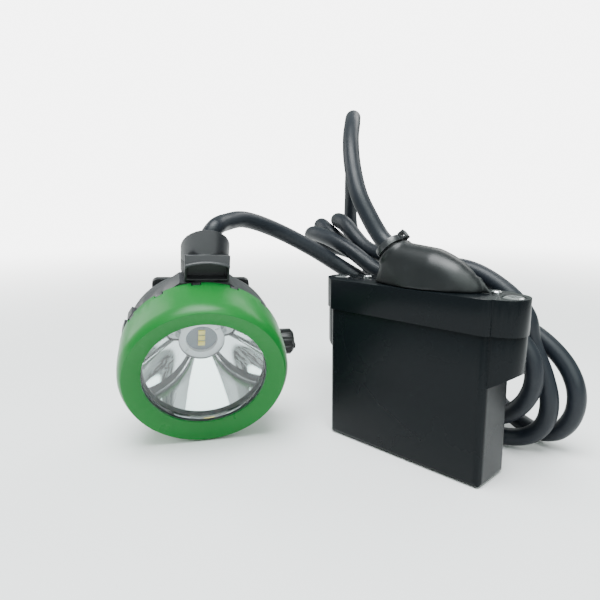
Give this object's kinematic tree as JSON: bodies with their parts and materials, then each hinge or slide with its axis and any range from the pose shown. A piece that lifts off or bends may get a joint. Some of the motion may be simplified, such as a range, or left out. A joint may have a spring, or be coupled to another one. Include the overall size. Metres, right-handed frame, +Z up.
{
  "type": "cap lamp",
  "caption": "Miner's cap lamp: a round LED headpiece with a rear cap hook and a rotary switch, joined by a long looped power cable to a belt-worn battery pack.",
  "frame": {"origin": "centre of the battery pack's base, on the surface it stands on", "axes": "+X along the battery pack towards the end where the cable loops show, +Y from its front to its belt-loop side, +Z up"},
  "size_m": [0.187, 0.1825, 0.1672],
  "materials": {
    "bezel_plastic": "satin",
    "soft_rubber": "matte",
    "clear_lens": "clear",
    "mirror_metal": "polished",
    "white_plastic": "matte",
    "led_grey": "satin",
    "led_yellow": "satin",
    "sink_metal": "satin",
    "head_plastic": "satin",
    "hood_plastic": "satin",
    "screw_steel": "satin",
    "knob_plastic": "satin",
    "hook_plastic": "satin",
    "pack_plastic": "satin",
    "boot_rubber": "satin",
    "tie_nylon": "satin",
    "cell_wrap": "gloss",
    "nickel_strip": "satin",
    "pad_card": "matte",
    "board_green": "satin",
    "cable_rubber": "matte"
  },
  "bodies": {
    "lamp_set": {"bezel_ring": "bezel_plastic", "lens_gasket": "soft_rubber", "lens": "clear_lens", "reflector": "mirror_metal", "led_collar": "white_plastic", "led_plate": "led_grey", "led_dice": "led_yellow", "led_board": "sink_metal", "heat_sink": "sink_metal", "lamp_housing": "head_plastic", "lock_hood": "hood_plastic", "cable_gland": "head_plastic", "gland_grommet": "soft_rubber", "gland_nut": "screw_steel", "knob_seal": "soft_rubber", "switch_unit": "white_plastic", "hat_hook": "hook_plastic", "hook_screws": "screw_steel", "battery_case": "pack_plastic", "case_cover": "pack_plastic", "cover_gasket": "soft_rubber", "cable_boot": "boot_rubber", "cable_tie": "tie_nylon", "lug_screws": "screw_steel", "cover_screws": "screw_steel", "cells": "cell_wrap", "cell_straps": "nickel_strip", "cell_pad": "pad_card", "protection_board": "board_green", "belt_loop": "hook_plastic", "belt_screws": "screw_steel", "cable": "cable_rubber"},
    "switch": {"switch_knob": "knob_plastic", "knob_shaft": "screw_steel", "shaft_clip": "screw_steel"}
  },
  "joints": [
    {"name": "switch_turn", "type": "hinge", "parent": "lamp_set", "child": "switch", "pos_m": [-0.0689, -0.02144, 0.04488], "axis": [0.5162, 0.8555, -0.0407], "range_deg": [0, 120]}
  ]
}
